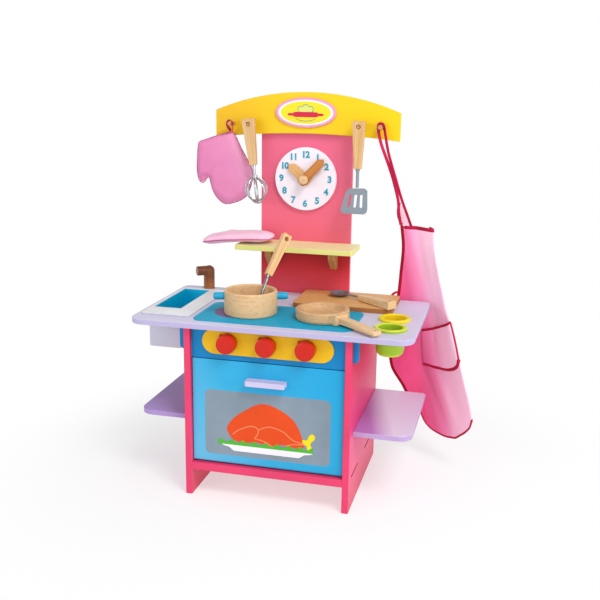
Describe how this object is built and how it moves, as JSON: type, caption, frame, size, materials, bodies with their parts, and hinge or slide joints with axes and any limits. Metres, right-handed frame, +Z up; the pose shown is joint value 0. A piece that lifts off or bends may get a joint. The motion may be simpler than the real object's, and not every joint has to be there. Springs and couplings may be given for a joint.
{
  "type": "toy kitchen",
  "caption": "Wooden toy kitchen with hinged oven door, turning knobs, clock, sink with tap, hob, lift-off pot, pan and cups, hanging utensils, mitts and apron.",
  "frame": {"origin": "middle of the outline, on the floor that the two side panels stand on", "axes": "+Z up, +Y from the front of the oven to its back, +X to the right of somebody facing the oven door"},
  "size_m": [0.7492, 0.3736, 0.9],
  "materials": {
    "pink_paint": "satin painted board",
    "coral_paint": "satin painted board",
    "door_blue": "satin painted board",
    "control_blue": "satin painted board",
    "yellow_paint": "satin painted board",
    "plate_yellow": "satin paint",
    "lavender_paint": "satin painted board",
    "violet_paint": "satin painted board",
    "handle_lilac": "satin paint",
    "knob_red": "gloss paint",
    "window_grey": "printed sheet",
    "sink_white": "satin",
    "sink_blue": "satin",
    "hob_blue": "satin print",
    "burner_violet": "print",
    "cup_yellow": "gloss",
    "cup_green": "gloss",
    "raw_wood": "clear varnish",
    "shelf_wood": "painted edge",
    "tap_brown": "stained",
    "hand_brown": "stained",
    "grip_blue": "painted",
    "steel": "brushed",
    "turner_grey": "satin",
    "clock_white": "painted and printed",
    "badge_print": "painted and printed",
    "apron_pink": "woven cotton",
    "mitt_pink": "quilted cotton",
    "tape_red": "woven tape",
    "zinc": "zinc plated"
  },
  "bodies": {
    "cabinet": {"side_panel_left": "pink_paint", "side_panel_right": "pink_paint", "bottom_board": "pink_paint", "back_board": "pink_paint", "control_board": "control_blue", "control_plate": "plate_yellow", "hinge_pins": "zinc", "door_catch": "sink_white", "side_shelf_left": "violet_paint", "side_shelf_right": "violet_paint", "counter": "lavender_paint", "sink_tray": "sink_white", "sink_liner": "sink_blue", "hob_plate": "hob_blue", "burners": "burner_violet", "tall_panel": "coral_paint", "arch_board": "yellow_paint", "badge": "badge_print", "peg_mitt": "raw_wood", "peg_whisk": "raw_wood", "peg_turner": "raw_wood", "peg_apron": "raw_wood", "clock_face": "clock_white", "clock_axle": "raw_wood", "upper_shelf": "shelf_wood", "bracket_left": "raw_wood", "bracket_right": "raw_wood", "screws": "zinc"},
    "door": {"door_panel": "door_blue", "door_window": "window_grey", "door_handle": "handle_lilac"},
    "knob_a": {"knob_left": "knob_red"},
    "knob_b": {"knob_middle": "knob_red"},
    "knob_c": {"knob_right": "knob_red"},
    "hour": {"hour_hand": "raw_wood"},
    "minute": {"minute_hand": "hand_brown"},
    "faucet": {"tap": "tap_brown"},
    "yellow_cup": {"cup_yellow": "cup_yellow"},
    "green_cup": {"cup_green": "cup_green"},
    "pot": {"pot_body": "raw_wood", "pot_handles": "grip_blue"},
    "ladle": {"ladle_handle": "raw_wood", "ladle_steel": "steel"},
    "pan": {"pan_body": "raw_wood", "pan_handle": "raw_wood"},
    "chopping_board": {"cutting_board": "raw_wood"},
    "spoon": {"spoon_handle": "raw_wood", "spoon_steel": "steel"},
    "hanging_mitt": {"mitt_hanging": "mitt_pink", "mitt_loop": "tape_red"},
    "lying_mitt": {"mitt_shelf": "mitt_pink"},
    "whisk": {"whisk_handle": "raw_wood", "whisk_steel": "steel"},
    "turner": {"turner_handle": "raw_wood", "turner_steel": "turner_grey"},
    "apron_cloth": {"apron_back": "apron_pink", "apron_side": "apron_pink", "apron_fold": "apron_pink", "apron_strap": "tape_red", "apron_tie": "tape_red"}
  },
  "joints": [
    {"name": "door_hinge", "type": "hinge", "parent": "cabinet", "child": "door", "pos_m": [-0.0586, -0.1538, 0.088], "axis": [1, 0, 0], "range_deg": [0, 90]},
    {"name": "knob_left_turn", "type": "hinge", "parent": "cabinet", "child": "knob_a", "pos_m": [-0.1466, -0.1598, 0.367], "axis": [0, 1, 0], "continuous": true},
    {"name": "knob_middle_turn", "type": "hinge", "parent": "cabinet", "child": "knob_b", "pos_m": [-0.0586, -0.1598, 0.367], "axis": [0, 1, 0], "continuous": true},
    {"name": "knob_right_turn", "type": "hinge", "parent": "cabinet", "child": "knob_c", "pos_m": [0.0294, -0.1598, 0.367], "axis": [0, 1, 0], "continuous": true},
    {"name": "hour_hand_turn", "type": "hinge", "parent": "cabinet", "child": "hour", "pos_m": [-0.0586, 0.1602, 0.695], "axis": [0, 1, 0], "continuous": true},
    {"name": "minute_hand_turn", "type": "hinge", "parent": "cabinet", "child": "minute", "pos_m": [-0.0586, 0.1502, 0.695], "axis": [0, 1, 0], "continuous": true},
    {"name": "tap_swivel", "type": "hinge", "parent": "cabinet", "child": "faucet", "pos_m": [-0.3056, 0.1572, 0.409], "axis": [0, 0, 1], "range_deg": [-30, 60]},
    {"name": "yellow_cup_lift", "type": "slide", "parent": "cabinet", "child": "yellow_cup", "axis": [0, 0, 1], "range_m": [0, 0.1]},
    {"name": "green_cup_lift", "type": "slide", "parent": "cabinet", "child": "green_cup", "axis": [0, 0, 1], "range_m": [0, 0.1]},
    {"name": "pot_lift", "type": "slide", "parent": "cabinet", "child": "pot", "axis": [0, 0, 1], "range_m": [0, 0.15]},
    {"name": "ladle_lift", "type": "slide", "parent": "pot", "child": "ladle", "axis": [0, 0, 1], "range_m": [0, 0.1]},
    {"name": "pan_lift", "type": "slide", "parent": "cabinet", "child": "pan", "axis": [0, 0, 1], "range_m": [0, 0.12]},
    {"name": "board_lift", "type": "slide", "parent": "cabinet", "child": "chopping_board", "axis": [0.2009, -0.1005, 0.9744], "range_m": [0, 0.04]},
    {"name": "spoon_lift", "type": "slide", "parent": "chopping_board", "child": "spoon", "axis": [-0.1, 0.1, 0.99], "range_m": [0, 0.03]},
    {"name": "lying_mitt_lift", "type": "slide", "parent": "cabinet", "child": "lying_mitt", "axis": [0, -0.8, 0.6], "range_m": [0, 0.15]},
    {"name": "hanging_mitt_swing", "type": "hinge", "parent": "cabinet", "child": "hanging_mitt", "pos_m": [-0.2406, 0.1502, 0.8235], "axis": [0, 1, 0], "range_deg": [0, 12]},
    {"name": "whisk_swing", "type": "hinge", "parent": "cabinet", "child": "whisk", "pos_m": [-0.1921, 0.1327, 0.8235], "axis": [0, 1, 0], "range_deg": [-14, 0]},
    {"name": "turner_swing", "type": "hinge", "parent": "cabinet", "child": "turner", "pos_m": [0.0749, 0.1327, 0.8235], "axis": [0, 1, 0], "range_deg": [-12, 12]},
    {"name": "apron_swing", "type": "hinge", "parent": "cabinet", "child": "apron_cloth", "pos_m": [0.1239, 0.1462, 0.8235], "axis": [0, 1, 0], "range_deg": [-10, 0]}
  ]
}
